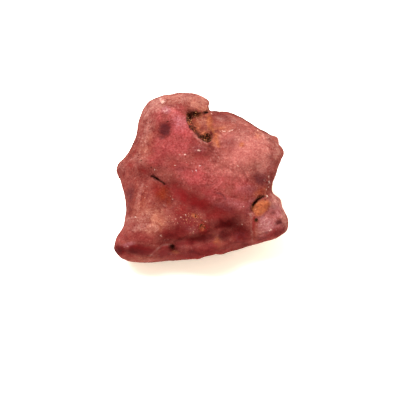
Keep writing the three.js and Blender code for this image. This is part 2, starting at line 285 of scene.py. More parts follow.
# Stains, clouds and flecks on the broad face, by kind. Each has its place across and up the drawing, its
# half sizes, its turn in degrees, its strength and, where it isn't the usual one, how soft its edge is.
faceStains = {
    "pale": [  # frosted pale skin, with soft painted highlights on the crown
        (-1.93, 7.19, 2.28, 0.44, 0, 0.47), (0, 6.93, 0.79, 0.61, 0, 0.75),
        (-4.74, -2.98, 0.53, 0.35, 0, 0.35, 0.9), (4.82, 3.51, 0.44, 0.35, -30, 0.4, 0.9),
        (-3.86, 6.49, 0.7, 0.61, 35, 0.65), (6.14, 1.23, 0.26, 0.61, -20, 0.45),
        (6.67, 2.63, 0.35, 0.7, -10, 0.5), (3.16, 5.09, 0.79, 0.26, -20, 0.35),
        (-2.46, 6.14, 0.44, 0.53, 0, 0.35), (-4.74, 3.95, 0.44, 1.49, -22, 0.35),
        (-5.18, 1.75, 0.53, 0.79, -35, 0.35), (4.39, 3.25, 1.4, 0.7, -28, 0.65),
        (5.44, 3.68, 0.79, 0.44, -35, 0.6), (5.53, 2.11, 0.61, 0.44, 0, 0.35),
        (6.32, 2.81, 0.35, 0.7, 0, 0.3), (-5.35, -1.67, 0.14, 0.79, -17, 0.5, 0.7),
        (-5, -0.61, 0.26, 0.44, 0, 0.3), (-4.65, -4.04, 1.05, 0.35, 5, 0.55),
        (-5, -3.42, 0.44, 0.26, 0, 0.45), (-6.05, -3.42, 0.61, 0.26, 10, 0.3),
        (5.88, -3.68, 0.7, 0.53, -20, 0.85), (6.4, -2.02, 0.44, 0.53, 15, 0.8),
        (4.39, -2.98, 0.18, 0.18, 0, 0.3), (7.11, -3.07, 0.22, 0.7, 8, 0.6),
        (7.46, -4.21, 0.18, 0.61, 0, 0.5), (4.91, -4.47, 0.35, 0.53, 0, 0.3),
        (5.44, -4.56, 0.44, 0.35, 0, 0.4), (7.28, -2.98, 0.22, 1.05, 10, 0.6),
        (4.82, -5.79, 1.05, 0.14, 22, 0.6), (7.02, -2.19, 0.26, 0.61, 20, 0.6),
        (4.91, 1.75, 0.53, 0.88, 0, 0.35, 0.9), (5.35, 1.4, 0.61, 0.61, 0, 0.8),
        (1.67, 5.35, 0.44, 0.26, -10, 0.35), (-6.93, 1.32, 0.53, 0.44, -30, 0.2),
        (-4.74, 5.96, 0.53, 0.61, 35, 0.5), (-3.33, 6.93, 0.32, 0.3, 20, 1),
        (-3.51, -6.93, 1.75, 0.14, 3, 0.3, 0.9),
    ],
    "salmon": [  # lighter salmon over the right shoulder
        (3.77, 1.93, 1.84, 1.23, -15, 0.85), (2.46, 3.6, 0.88, 0.7, -30, 0.55),
        (4.04, 0.7, 0.88, 0.53, 0, 0.6), (4.74, 2.98, 1.23, 0.88, -20, 0.7),
        (1.93, 0.7, 1.23, 0.7, -20, 0.45, 0.9), (3.6, 0.61, 1.14, 0.53, 10, 0.65),
        (5.35, 1.49, 0.88, 0.61, 0, 0.7), (5.7, 2.46, 0.7, 0.7, 0, 0.5), (5.44, 1.14, 0.79, 0.44, -10, 0.6),
        (6.05, -3.25, 0.79, 0.79, 0, 0.4, 0.9), (4.3, 4.12, 0.88, 0.53, -30, 0.4, 0.9),
        (3.86, 2.63, 1.05, 0.79, 0, 0.4, 0.9),
    ],
    "rose": [  # bright rose, where light comes up through the crystal
        (-2.02, 5.44, 0.79, 0.79, 20, 0.55), (-1.58, 4.3, 0.96, 1.05, 20, 0.9, 0.7),
        (-2.11, 2.98, 1.4, 0.88, 0, 0.65), (-3.86, 1.67, 0.88, 0.44, -15, 0.35),
        (-1.75, 1.14, 0.88, 0.44, 0, 0.45), (-3.68, 2.98, 0.61, 0.88, 0, 0.45),
        (0, 1.23, 1.05, 0.53, -10, 0.25), (-0.35, 0.18, 1.4, 0.7, -15, 0.65),
        (1.49, -0.09, 1.14, 0.79, -10, 0.38), (3.51, -0.53, 0.79, 0.7, 0, 0.4, 0.9),
        (1.4, -1.49, 1.49, 0.61, -25, 0.45, 0.9), (3.33, -2.19, 0.7, 0.53, -20, 0.3, 0.9),
        (-6.84, -5.09, 0.44, 0.44, -30, 0.15), (-3.51, 5.44, 0.61, 0.53, 0, 0.35, 0.9),
    ],
    "peach": [  # peach, where rust tints the pale skin
        (-0.09, 6.67, 0.79, 0.7, 0, 0.45), (-3.6, -3.42, 0.7, 0.61, 0, 0.85),
        (-4.74, -2.72, 0.88, 0.79, 0, 0.4, 0.9), (-4.21, -4.21, 0.88, 0.44, 0, 0.45),
        (1.93, 4.47, 0.79, 0.3, -4, 0.5), (1.4, 3.42, 0.3, 0.61, -22, 0.6),
        (0.35, 6.18, 0.53, 0.23, 0, 0.8, 0.7), (0.18, 5.18, 0.39, 0.35, 0, 0.8, 0.7),
        (1.58, -5.35, 0.35, 0.61, 25, 0.75, 0.7), (-4.39, -6.75, 1.75, 0.22, 3, 0.35, 0.9),
        (-2.46, 7.11, 0.7, 0.44, 0, 0.3), (-4.56, 2.81, 0.44, 1.05, -15, 0.35),
        (0.53, 4.74, 0.35, 0.7, 0, 0.3),
    ],
    "mauve": [  # pinker skin on the right foot, and soft painted highlights on the toe and the crown
        (-6.14, -5.6, 0.48, 0.19, 12, 0.8), (5.96, -3.77, 0.88, 0.7, -20, 0.68),
        (6.67, -2.72, 0.44, 0.61, 15, 0.5), (4.3, -2.19, 0.35, 0.61, -20, 0.3, 0.9),
        (3.16, -2.11, 0.96, 0.35, -15, 0.25, 0.9), (3.86, -0.96, 0.79, 0.35, 0, 0.25, 0.9),
        (-1.75, 4.91, 0.53, 0.61, 20, 0.6, 0.9), (-2.9, 6.01, 0.32, 0.28, 0, 0.95),
        (-0.7, -4.21, 0.61, 0.26, -15, 0.4, 0.9), (-0.09, 2.54, 0.53, 0.26, 0, 0.3, 0.9),
        (1.93, -2.37, 0.7, 0.26, -20, 0.3, 0.9), (5.44, -4.91, 0.35, 0.26, 0, 0.3, 0.9),
    ],
    "amber": [  # amber, where rust has gone into the crystal
        (-3.25, -1.23, 0.48, 0.57, -20, 0.95), (-2.76, -1.75, 0.23, 0.53, 20, 0.6),
        (-3.77, -0.61, 0.31, 0.35, 0, 0.4), (-0.35, -3.11, 0.35, 0.14, -25, 0.8, 0.7),
        (0.18, -4.12, 0.26, 0.35, 0, 0.6), (4.63, -4.12, 0.21, 0.79, 0, 0.45),
        (-2.11, -6.23, 0.44, 0.22, 0, 0.4), (1.4, -5.35, 0.26, 0.44, 25, 0.35),
        (-5.13, 0.79, 0.26, 0.18, 0, 0.3), (5.18, -1.05, 0.61, 0.26, 25, 0.6),
        (-0.35, -6.32, 3.16, 0.44, 6, 0.28, 0.9), (-5.26, -1.75, 0.88, 1.58, -5, 0.3, 0.9),
        (2.11, 2.46, 0.35, 0.18, 0, 0.3), (3.6, 2.98, 0.26, 0.18, 0, 0.4),
        (-2.19, 1.23, 0.35, 0.26, 30, 0.4), (-5, 2.63, 0.7, 1.75, -20, 0.2, 0.9),
        (-2.37, 1.23, 0.26, 0.18, 30, 0.35),
    ],
    "deep": [  # clear deep red, where the skin has worn away
        (-4.12, 1.14, 0.53, 0.26, 0, 0.35), (-4.91, 0.96, 0.61, 0.3, -20, 0.45),
        (-4.3, 2.72, 0.26, 0.61, -10, 0.25, 0.9), (-2.98, 4.26, 0.61, 0.58, 10, 0.6),
        (-0.7, 0.79, 0.7, 0.35, -15, 0.3, 0.9), (-0.7, -2.54, 0.7, 0.44, -20, 0.5),
        (-3.51, 2.28, 1.14, 0.7, -10, 0.22, 0.9), (-1.93, 1.32, 0.79, 0.44, 0, 0.2, 0.9),
        (1.58, -4.04, 0.53, 0.35, 0, 0.6), (0, -4.21, 0.44, 0.35, 0, 0.45),
        (3.95, -2.19, 0.44, 0.35, 0, 0.25, 0.9), (6.23, 1.32, 0.26, 0.53, -10, 0.3, 0.9),
        (5.44, -4.91, 0.53, 0.3, 0, 0.35, 0.9), (2.28, -0.09, 0.53, 0.35, 0, 0.25, 0.9),
        (-7.28, -5.7, 0.35, 0.53, -20, 0.35), (0.09, 2.11, 0.7, 0.44, -10, 0.45),
        (-0.61, 3.33, 0.44, 0.35, -40, 0.3, 0.9), (-6.05, 1.32, 0.44, 0.35, 0, 0.45, 0.9),
        (-3.77, -0.88, 0.35, 0.44, 0, 0.45, 0.9), (4.61, -3.86, 0.14, 0.7, 0, 0.6, 0.7),
        (-2.19, -0.35, 0.53, 0.44, -35, 0.45, 0.9), (-1.49, -1.4, 1.05, 0.61, -35, 0.9),
        (-0.18, -2.02, 1.32, 0.61, -25, 0.95), (0.96, -2.81, 1.05, 0.53, -25, 0.55),
        (-1.4, -2.72, 0.7, 0.7, 0, 0.7), (0.26, -0.88, 1.05, 0.44, -20, 0.35, 0.9),
        (3.16, -2.89, 0.88, 0.53, 0, 0.35, 0.9), (3.51, -4.91, 0.79, 0.7, 0, 0.75),
        (-1.84, -4.47, 1.05, 0.61, 10, 0.75, 0.7), (-0.7, -5.26, 1.4, 0.31, 16, 0.8, 0.7),
        (-5, -5.96, 1.58, 0.35, -4, 1, 0.6), (-6.84, -6.05, 0.61, 0.44, 0, 1, 0.6),
        (-0.35, -6.4, 3.16, 0.44, 6, 0.75), (-3.07, -6.23, 0.79, 0.53, 0, 0.75),
        (-1.14, -3.68, 0.88, 0.44, -10, 0.7), (0.26, -4.3, 0.61, 0.61, 0, 0.85),
        (-2.46, -4.65, 0.88, 0.44, 5, 0.8), (0.44, -2.63, 0.7, 0.44, -20, 0.4, 0.9),
        (0.7, -5.96, 1.75, 0.53, 10, 0.7), (-5, -4.91, 1.4, 0.35, -3, 0.4),
        (2.81, -2.72, 1.05, 0.44, -18, 0.45, 0.9), (1.67, -2.89, 1.23, 0.7, -10, 0.75),
        (-6.32, -6.49, 0.88, 0.26, -20, 0.4), (6.4, -4.56, 1.05, 0.35, 18, 0.75, 0.7),
        (5.44, -5.26, 0.7, 0.35, 20, 0.5), (-2.98, -5.96, 0.88, 0.53, 0, 0.55),
        (6.75, -3.68, 0.35, 0.26, 30, 0.35), (-6.32, -1.14, 0.44, 0.88, 0, 0.2, 0.9),
        (3.51, -1.4, 0.88, 0.44, -10, 0.3, 0.9),
    ],
    "dark": [  # near black red: painted shade in the hollow over the ledge, on the ledge and under the toe
        (2.19, -3.82, 1.23, 0.56, 4, 1), (-0.44, -2.54, 0.61, 0.3, -25, 0.3, 0.9),
        (3.16, -5.26, 0.53, 0.44, 0, 0.35, 0.9), (-0.18, -6.32, 3.33, 0.44, 6, 0.27, 0.9),
        (3.33, -4.56, 0.88, 0.7, 0, 0.75), (0.35, -4.96, 1.58, 0.32, 15, 0.9, 0.7),
        (1.84, -4.74, 0.79, 0.53, 0, 0.85), (3.77, -5.53, 0.53, 0.35, 0, 0.5),
        (-2.19, -5.96, 0.39, 0.48, 0, 0.55), (-2.54, -5.26, 0.88, 0.35, 10, 0.5),
        (-1.84, -4.3, 0.79, 0.35, 20, 0.3), (-5.79, -6.09, 1.49, 0.26, -3, 0.75, 0.9),
        (-5, -5.91, 1.23, 0.28, -4, 0.5, 0.9), (-6.93, -6.05, 0.53, 0.37, 0, 0.9, 0.9),
        (-2.32, -5.92, 0.44, 0.44, 0, 0.8), (-2.46, -4.74, 0.79, 0.3, 8, 0.45),
        (1.67, -4.12, 0.7, 0.35, 0, 0.6), (6.67, -3.64, 0.35, 0.18, 35, 0.7, 0.7),
        (5.44, -5.09, 0.61, 0.18, 18, 0.4), (6.84, -4.56, 0.61, 0.23, 22, 0.5),
        (0, -2.54, 0.79, 0.35, -20, 0.25, 0.9),
    ],
    "plum": [  # the plum spot under the crown, plum clouds, and painted shade where the right waist turns away
        (-2.98, 4.28, 0.58, 0.54, 20, 0.86, 0.35), (-3.11, 4.51, 0.23, 0.14, 20, 0.7, 0.6),
        (-2.77, 4.07, 0.25, 0.14, -30, 0.7, 0.6), (-3.25, 3.65, 0.28, 0.19, 10, 0.6, 0.6),
        (1.93, 5.44, 0.88, 0.26, -12, 0.35), (3.77, 4.3, 0.53, 0.21, -28, 0.3),
        (5.12, 0.05, 0.56, 0.47, -30, 0.78, 0.7), (4.21, -0.88, 0.61, 0.35, 0, 0.35, 0.9),
        (6.14, 1.75, 0.35, 0.61, 0, 0.25, 0.9), (6.32, -2.37, 0.35, 0.26, -30, 0.5),
        (5.7, -2.54, 0.35, 0.22, -50, 0.5), (7.11, -4.04, 0.18, 0.35, 10, 0.2),
        (-5.96, -1.23, 0.39, 0.79, -5, 0.6), (-1.75, 1.05, 0.53, 0.35, -15, 0.35),
        (-6.23, -2.28, 0.35, 0.53, 0, 0.3, 0.9), (2.72, 3.25, 0.53, 0.44, 0, 0.3, 0.9),
        (2.28, -2.28, 1.05, 0.44, -25, 0.25), (3.51, -3.16, 0.7, 0.44, 0, 0.3, 0.9),
        (-0.18, -5.96, 2.81, 0.39, 6, 0.35), (-3.16, -6.32, 0.88, 0.44, 0, 0.35, 0.9),
        (-1.23, -3.51, 0.88, 0.44, 0, 0.35, 0.9), (6.23, -2.81, 0.26, 0.18, 20, 0.6, 0.7),
        (5.7, -4.52, 0.16, 0.11, 0, 0.6, 0.7), (6.89, -3.68, 0.16, 0.11, 0, 0.9, 0.7),
        (5.44, -2.98, 0.18, 0.35, -40, 0.5), (-0.53, 2.72, 0.44, 0.26, -40, 0.2, 0.9),
        (0.92, 2.89, 0.19, 0.19, 0, 0.45),
    ],
    "rust": [  # rust in the cleft and the socket, and amber spread from it
        (-0.44, 4.91, 0.3, 0.79, 35, 0.6, 0.6), (0.09, 4.3, 0.35, 0.3, 0, 0.35, 0.7),
        (0.26, 5.53, 0.53, 0.18, 0, 0.3, 0.7), (0.82, 4.91, 0.26, 0.7, 0, 0.7, 0.6),
        (1.32, 3.6, 0.21, 0.61, -15, 0.5), (0.35, 3.95, 0.44, 0.35, 0, 0.5, 0.7),
        (1.67, 4.33, 0.53, 0.16, 4, 0.5), (3.58, 3.03, 0.19, 0.16, 0, 0.4),
        (5, 3.86, 0.26, 0.35, 0, 0.25, 0.9), (5.28, -2.37, 0.82, 0.49, 33, 1, 0.2),
        (5.26, -1.14, 0.7, 0.26, 25, 0.14, 0.7), (4.74, -2.41, 0.37, 0.42, 20, 1, 0.2),
        (3.55, 2.89, 0.14, 0.11, 0, 0.5), (1.27, 3.33, 0.19, 0.53, -20, 0.45),
        (-0.44, -3.11, 0.26, 0.14, -20, 0.7, 0.7), (0.18, -4.12, 0.18, 0.26, 0, 0.4, 0.7),
        (-3.33, -3.86, 0.14, 0.44, 0, 0.3), (-2.11, -6.23, 0.26, 0.14, 0, 0.3),
        (1.4, -5.35, 0.22, 0.53, 25, 0.3),
    ],
    "gold": [  # where golden flecks gather
        (-0.88, -3.42, 1.58, 0.88, -12, 1), (-2.54, -3.42, 0.61, 0.7, 0, 0.85),
        (-1.93, -2.28, 0.61, 0.53, 30, 0.75), (-0.35, -4.21, 0.79, 0.53, 0, 0.95),
        (-4.21, -3.68, 1.23, 0.7, 0, 0.5), (0.79, 4.91, 0.35, 0.79, 0, 0.5, 0.6),
        (-4.91, 2.63, 0.7, 1.75, -18, 0.5), (-4.47, -3.33, 1.23, 0.88, 0, 0.4),
        (5, 3.86, 0.44, 0.53, 0, 0.8, 0.7), (2.28, 4.3, 0.79, 0.35, -4, 0.6, 0.7),
        (-2.37, -1.4, 0.26, 0.7, 20, 0.8, 0.7), (-1.23, 7.02, 1.58, 0.7, 0, 0.5),
        (-1.49, -6.32, 2.81, 0.35, 6, 0.4), (2.28, -3.86, 0.35, 0.26, 0, 0.2),
        (0, -4.21, 0.53, 0.61, 0, 0.6, 0.7), (-0.18, 5.09, 0.44, 0.7, 30, 0.3, 0.7),
    ],
    "bright": [  # single bright flecks: painted highlights and glints, and a few pale chips
        (-3.42, 7.02, 0.26, 0.18, -30, 0.62, 1), (-3.25, 6.79, 0.25, 0.25, 20, 0.66, 1),
        (-2.93, 6.02, 0.23, 0.18, 20, 0.6, 1), (-0.05, 2.47, 0.15, 0.08, -10, 0.85, 0.6),
        (-0.35, 2.56, 0.11, 0.05, -10, 0.45, 0.7), (-6.14, -5.67, 0.18, 0.07, 8, 0.45),
        (-6.45, -5.81, 0.11, 0.05, 8, 0.4), (-1.75, 2.14, 0.1, 0.07, 0, 0.6, 0.6),
        (-1.23, 2.14, 0.14, 0.07, 0, 0.7, 0.6), (-1.14, 1.49, 0.09, 0.06, 0, 0.5, 0.6),
        (3.22, 1.17, 0.16, 0.06, -30, 0.8, 0.5), (-5.53, -3.19, 0.11, 0.08, 0, 0.8, 0.5),
        (-3.35, -4.77, 0.15, 0.19, 10, 0.55, 0.9), (-4.17, -4.04, 0.14, 0.09, 0, 0.5, 0.6),
        (-5.09, -4.21, 0.12, 0.08, 0, 0.5, 0.6), (5.77, -1.43, 0.11, 0.12, 0, 0.8, 0.6),
        (5.66, -1.14, 0.07, 0.07, 0, 0.5, 0.6), (3.68, -2.32, 0.09, 0.07, 0, 0.7, 0.5),
        (3.6, -3.77, 0.06, 0.14, 0, 0.6, 0.5), (6.01, -4.32, 0.14, 0.08, 40, 0.8, 0.6),
        (5.75, -4.04, 0.11, 0.07, -20, 0.5, 0.7), (6.27, -3.95, 0.13, 0.07, 50, 0.5, 0.7),
        (6.58, -4.3, 0.12, 0.06, 20, 0.4, 0.7), (5.18, -3.86, 0.09, 0.06, 0, 0.5, 0.6),
        (5.41, 1.61, 0.14, 0.11, 0, 0.35, 0.7), (5.96, 3.65, 0.14, 0.08, 30, 0.5, 0.6),
        (5.49, 3.54, 0.09, 0.07, 0, 0.5, 0.5), (5, 4.3, 0.09, 0.07, 0, 0.7, 0.5),
        (5.13, 3.68, 0.09, 0.07, 0, 0.7, 0.5), (4.74, 4.04, 0.08, 0.06, 0, 0.6, 0.5),
        (0.99, 5.79, 0.08, 0.07, 0, 0.6, 0.5), (1.58, 5.35, 0.08, 0.07, 0, 0.5, 0.5),
        (-2.15, 1.19, 0.08, 0.06, 0, 0.6, 0.5), (5.53, -3.42, 0.21, 0.09, 40, 0.5, 0.6),
        (-3.88, 0.84, 0.05, 0.15, 0, 0.55, 0.6), (-4.23, 0.68, 0.13, 0.04, -20, 0.45, 0.6),
        (-1.23, -3.03, 0.08, 0.07, 0, 0.8, 0.5), (-1.62, -3.25, 0.07, 0.07, 0, 0.7, 0.5),
        (0.48, -3.6, 0.08, 0.07, 0, 0.7, 0.5), (4.39, -2.46, 0.06, 0.26, -20, 0.4, 0.6),
        (-4.56, -0.61, 0.08, 0.08, 0, 0.5, 0.5), (-4.34, -0.26, 0.08, 0.06, 0, 0.5, 0.5),
        (-2.32, -1.67, 0.09, 0.07, 0, 0.5, 0.6), (-3.08, -2.14, 0.08, 0.08, 0, 0.5, 0.5),
        (-2.77, -3.65, 0.07, 0.06, 0, 0.5, 0.5), (-2.58, -3.41, 0.08, 0.06, 0, 0.55, 0.5),
        (-2.42, -3.65, 0.07, 0.07, 0, 0.5, 0.5), (-2.09, -3.37, 0.08, 0.06, 0, 0.55, 0.5),
        (-1.88, -3.75, 0.06, 0.06, 0, 0.5, 0.5), (-0.89, -4, 0.07, 0.06, 0, 0.5, 0.5),
        (-0.56, -4.47, 0.1, 0.07, 20, 0.6, 0.5), (-0.28, -3.95, 0.07, 0.06, 0, 0.5, 0.5),
        (-1.67, -2.02, 0.07, 0.06, 0, 0.5, 0.5), (2.89, 3.42, 0.08, 0.06, 0, 0.5, 0.5),
        (1.58, 1.93, 0.09, 0.06, 0, 0.5, 0.5), (2.11, 1.49, 0.09, 0.05, 20, 0.5, 0.5),
        (-1.4, 1.75, 0.09, 0.06, 0, 0.5, 0.5), (-1.93, 0.18, 0.09, 0.06, 0, 0.4, 0.5),
        (-4.91, 2.89, 0.09, 0.07, 40, 0.6, 0.5), (-4.74, 3.25, 0.08, 0.08, 0, 0.5, 0.5),
    ],
    "soot": [  # dark dirt deep in the pits, and painted shade in the pits, the cleft and the socket
        (-0.96, 5.39, 0.28, 0.44, -20, 0.95, 0.4), (-0.57, 5.75, 0.35, 0.19, 10, 0.6, 0.5),
        (0.61, 3.6, 0.32, 0.44, 20, 0.95, 0.4), (0.13, 3.68, 0.44, 0.19, -42, 0.7, 0.5),
        (-0.31, 4.12, 0.19, 0.44, 38, 0.5, 0.6), (-2.79, 4.98, 0.13, 0.07, 20, 0.75, 0.6),
        (-4.16, 1.02, 0.11, 0.1, 0, 0.7, 0.6), (-5.04, 1.63, 0.16, 0.05, 30, 0.6, 0.6),
        (-4.61, 5.18, 0.18, 0.05, 25, 0.6, 0.6), (-4.35, 4.95, 0.05, 0.14, 0, 0.55, 0.6),
        (-5.93, 1.44, 0.14, 0.05, 40, 0.5, 0.6), (4.79, -3.47, 0.16, 0.12, 30, 1, 0.4),
        (-2.37, -5.81, 0.23, 0.25, 0, 0.62, 0.9), (-2.06, -6.18, 0.12, 0.18, 20, 0.4, 0.9),
        (-3.89, 0.11, 0.23, 0.11, -20, 0.6, 0.7), (5.58, -1.74, 0.11, 0.09, 0, 0.6, 0.5),
        (-0.39, -2.98, 0.18, 0.07, -25, 0.5, 0.6),
    ],
    "crumb": [  # where crumbs of rusty crystal are caught
        (-0.95, 5.39, 0.3, 0.5, -20, 1, 0.4), (-0.5, 5.65, 0.5, 0.25, 10, 0.8, 0.5),
        (-0.55, 4.45, 0.2, 0.88, 38, 0.8, 0.5), (0.5, 3.68, 0.55, 0.4, -20, 1, 0.4),
        (-0.09, 4.82, 0.53, 0.7, 0, 0.14, 0.6), (4.79, -3.45, 0.2, 0.18, 30, 0.6, 0.5),
        (-0.31, -2.96, 0.39, 0.19, -30, 0.5, 0.6), (0.2, -3.9, 0.35, 0.5, 20, 0.45, 0.6),
        (5.2, -1.49, 0.61, 0.18, 28, 0.5, 0.6),
    ],
    "gloss": [  # polished places
        (-6.23, -5.73, 0.35, 0.14, 8, 1), (-3.32, 6.84, 0.26, 0.23, 0, 0.5),
        (-0.09, 2.46, 0.26, 0.14, 0, 1), (3.25, 1.14, 0.35, 0.11, -30, 0.8),
        (5.96, -0.18, 0.14, 0.61, -5, 1), (5.79, -1.4, 0.14, 0.2, 0, 0.9), (5.79, -4.3, 0.26, 0.16, 0, 1),
        (-0.53, -2.89, 1.58, 0.96, -20, 0.3), (0.96, 0, 2.98, 2.02, 0, 0.2),
    ],
}
stainKinds = tuple(faceStains)
smallStain = 0.4  # below this size a stain keeps its own place and shape
usualSoftness = 0.8

# Clouds of the same kinds on the sides that face away, by chance: how large they are across, the noise at
# which they begin and at which they are full, and their strength.
backStains = {
    "deep": (3.1, 0.05, 0.6, 0.9),
    "rose": (2.3, 0.0, 0.5, 0.6),
    "pale": (1.9, 0.1, 0.6, 0.6),
    "plum": (2.7, 0.2, 0.6, 0.6),
    "rust": (1.2, 0.32, 0.6, 0.7),
    "gold": (2.1, 0.1, 0.5, 0.6),
}

# The worn skin over the whole stone.
skin = {
    "passes": 2,  # smoothing passes over the carved lump
    "regrow": 0.05,  # what the smoothing takes off
    "swellHeight": 0.10,
    "lumpHeight": 0.05,
    "gritHeight": 0.02,
    "dimpleDepth": 0.045,
    "crystalHeight": 0.16,  # of the broken crystal in the pits
}
voxel = 0.095  # millimetres between the points of the stone's mesh

helpers = []  # the flat outlines and lines that the trees measure from, removed at the end


def addObject(name, data):
    made = bpy.data.objects.new(name, data)
    bpy.context.scene.collection.objects.link(made)
    return made


# A closed outline or an open line, lying on the drawing.
def drawnMesh(name, points, closed):
    mesh = bpy.data.meshes.new(name)
    places = [(x, y, 0) for x, y in points]
    edges = [] if closed else [(i, i + 1) for i in range(len(places) - 1)]
    faces = [tuple(range(len(places)))] if closed else []
    mesh.from_pydata(places, edges, faces)
    helper = addObject(name, mesh)
    helpers.append(helper)
    return helper


# The place on the face's drawing of a point of the part.
def drawingOf(graph, place):
    fromMiddle = graph.vector("SUBTRACT", place, face["middle"])
    across = graph.vector("DOT_PRODUCT", fromMiddle, faceRight)
    up = graph.vector("DOT_PRODUCT", fromMiddle, faceUp)
    out = graph.vector("DOT_PRODUCT", fromMiddle, faceOut)
    return across, up, out


# How far a place on the drawing is from a helper's edges or faces.
def distanceTo(graph, helper, flat, element):
    target = graph.add("GeometryNodeObjectInfo", {}, {"Object": helper}, "Geometry")
    settings = {"target_element": element}
    return graph.add("GeometryNodeProximity", settings, {0: target, "Sample Position": flat}, "Distance")


# A tree of Geometry Nodes, with its inputs by name. Each is a number, apart from Geometry.
def newTree(name, labels, result):
    kinds = {"Geometry": "NodeSocketGeometry"}
    tree = bpy.data.node_groups.new(name, "GeometryNodeTree")
    for label in labels:
        kind = kinds.get(label, "NodeSocketFloat")
        tree.interface.new_socket(label, in_out="INPUT", socket_type=kind)
    kind = kinds.get(result, "NodeSocketFloat")
    tree.interface.new_socket(result, in_out="OUTPUT", socket_type=kind)
    graph = Graph(tree)
    entry = tree.nodes.new("NodeGroupInput")
    return tree, graph, {label: Wire(graph, entry.outputs[label]) for label in labels}


def endTree(tree, result):
    leave = tree.nodes.new("NodeGroupOutput")
    tree.links.new(result.socket, leave.inputs[0])


# The two small trees that follow go from numbers to one number, and the larger trees use them repeatedly.
# Smoothly 1 at a spot of the drawing, and 0 a little past its size.
def spotSum():
    tree, graph, given = newTree("spot", ("across", "up", "x", "y", "size", "height"), "mask")
    away = ((given["across"] - given["x"]) ** 2 + (given["up"] - given["y"]) ** 2) ** 0.5 / given["size"]
    endTree(tree, (1 - graph.step(away, 0.25, 1.35)) * given["height"])
    return tree


# How strongly a stain lies on a place of the drawing, from 0 to 1.
def stainSum():
    labels = ("across", "up", "ragged", "x", "y", "width", "height", "turn", "strength", "soft")
    tree, graph, given = newTree("stain", labels, "mask")
    cosine = given["turn"].cosine()
    sine = given["turn"].sine()
    x = given["across"] - given["x"]
    y = given["up"] - given["y"]
    u = (x * cosine + y * sine) / given["width"]
    v = (y * cosine - x * sine) / given["height"]
    away = (u * u + v * v) ** 0.5 + given["ragged"]
    endTree(tree, (1 - graph.step(away, 1 - given["soft"], 1 + given["soft"])) * given["strength"])
    return tree


def spotOf(graph, tree, where, spot):
    across, up = where
    x, y, size, height = spot
    inputs = {"across": across, "up": up, "x": x, "y": y, "size": size, "height": height}
    return graph.add("GeometryNodeGroup", {"node_tree": tree}, inputs)


def stainOf(graph, tree, where, stain):
    x, y, width, height, turn, strength, soft = (*stain, usualSoftness)[:7]
    across, up, ragged = where
    inputs = {"across": across, "up": up, "ragged": ragged, "turn": math.radians(turn), "strength": strength}
    inputs.update({"x": x, "y": y, "width": width, "height": height, "soft": soft})
    return graph.add("GeometryNodeGroup", {"node_tree": tree}, inputs)


# Puts the tree on the object, with its named inputs set.
def addTree(owner, tree, sizes):
    modifier = owner.modifiers.new(tree.name, "NODES")
    modifier.node_group = tree
    for item in tree.interface.items_tree:
        if item.in_out == "INPUT" and item.name in sizes:
            modifier[item.identifier] = float(sizes[item.name])


def addRemesh(owner):
    remesh = owner.modifiers.new("remesh", "REMESH")
    remesh.mode = "VOXEL"
    remesh.voxel_size = voxel


def blurred(graph, place, passes):
    settings = {"data_type": "FLOAT_VECTOR"}
    return graph.add("GeometryNodeBlurAttribute", settings, {"Value": place, "Iterations": passes})


# Smooths the facets away, cuts the cleft, the socket and the small pits, and trims the rim.
def carvedLump():
    tree, graph, size = newTree("carvedLump", ("Geometry", *carving), "Geometry")
    place = graph.add("GeometryNodeInputPosition")
    once = blurred(graph, place, size["passes"])
    twice = blurred(graph, once, size["passes"])
    kept = graph.vector("SUBTRACT", graph.scaled(once, 2.0), twice)
    smooth = graph.add("GeometryNodeSetPosition", {}, {"Geometry": size["Geometry"], "Position": kept})
    across, up, out = drawingOf(graph, place)
    flat = graph.add("ShaderNodeCombineXYZ", {}, {0: across, 1: up})
    flat = graph.vector("ADD", flat, graph.drift(place, 0.4, 0.07))
    front = graph.step(out, -0.3, 0.4)

    def insideOf(name):
        helper = drawnMesh(name, outlines[name], True)
        toEdge = distanceTo(graph, helper, flat, "EDGES")
        toFace = distanceTo(graph, helper, flat, "FACES")
        inside = 1 - graph.step(toFace, 0.0, 0.001)
        return graph.step(toEdge, 0.0, size["wall"]) * inside * front

    rise = graph.step(across, 0.3, 1.8) * size["cleftRise"]
    cleftFloor = size["cleftFloor"] + (size["cleftTop"] - up) * size["cleftFall"] + rise
    cleftFloor = cleftFloor + graph.noise(place, 0.5, 2) * 0.1
    drop = (cleftFloor.least(out) - out) * insideOf("cleft")
    # the grain in the socket
    right = across - grain["at"][0]
    over = up - grain["at"][1]
    turn = math.radians(grain["turn"])
    along = right * math.cos(turn) + over * math.sin(turn)
    beside = over * math.cos(turn) - right * math.sin(turn)
    dome = (1 - (along / grain["long"]) ** 2 - (beside / grain["wide"]) ** 2).most(0.0) ** 0.5
    socketFloor = size["socketFloor"] - beside * size["socketFall"] + dome * size["grainHeight"]
    shelf = graph.step(-along, 0.15, 0.5)
    socketFloor = socketFloor + (socketFloor.most(size["socketShelf"]) - socketFloor) * shelf
    drop = drop + (socketFloor - out) * insideOf("socket")
    # the dents, on the broad face only
    spotTree = spotSum()
    where = (across, up)
    dented = 0.0
    for dent in dents.values():
        dented = spotOf(graph, spotTree, where, dent) + dented
    drop = drop - dented * front
    # the bumps and bites, on the rim only
    rim = graph.step(out, -2.5, -1.0) * (1 - graph.step(out, 3.0, 4.0))
    push = 0.0
    for bite in edgeBites.values():
        push = spotOf(graph, spotTree, where, bite) + push
    outward = graph.vector("ADD", graph.scaled(faceRight, across), graph.scaled(faceUp, up))
    outward = graph.add("ShaderNodeVectorMath", {"operation": "NORMALIZE"}, {0: outward})
    outward = graph.scaled(outward, push * rim)
    aside = graph.scaled(faceRight, spotOf(graph, spotTree, where, notchSide))
    outward = graph.vector("ADD", outward, aside)
    shift = graph.vector("ADD", graph.scaled(faceOut, drop), outward)
    endTree(tree, graph.add("GeometryNodeSetPosition", {}, {"Geometry": smooth, "Offset": shift}))
    return tree


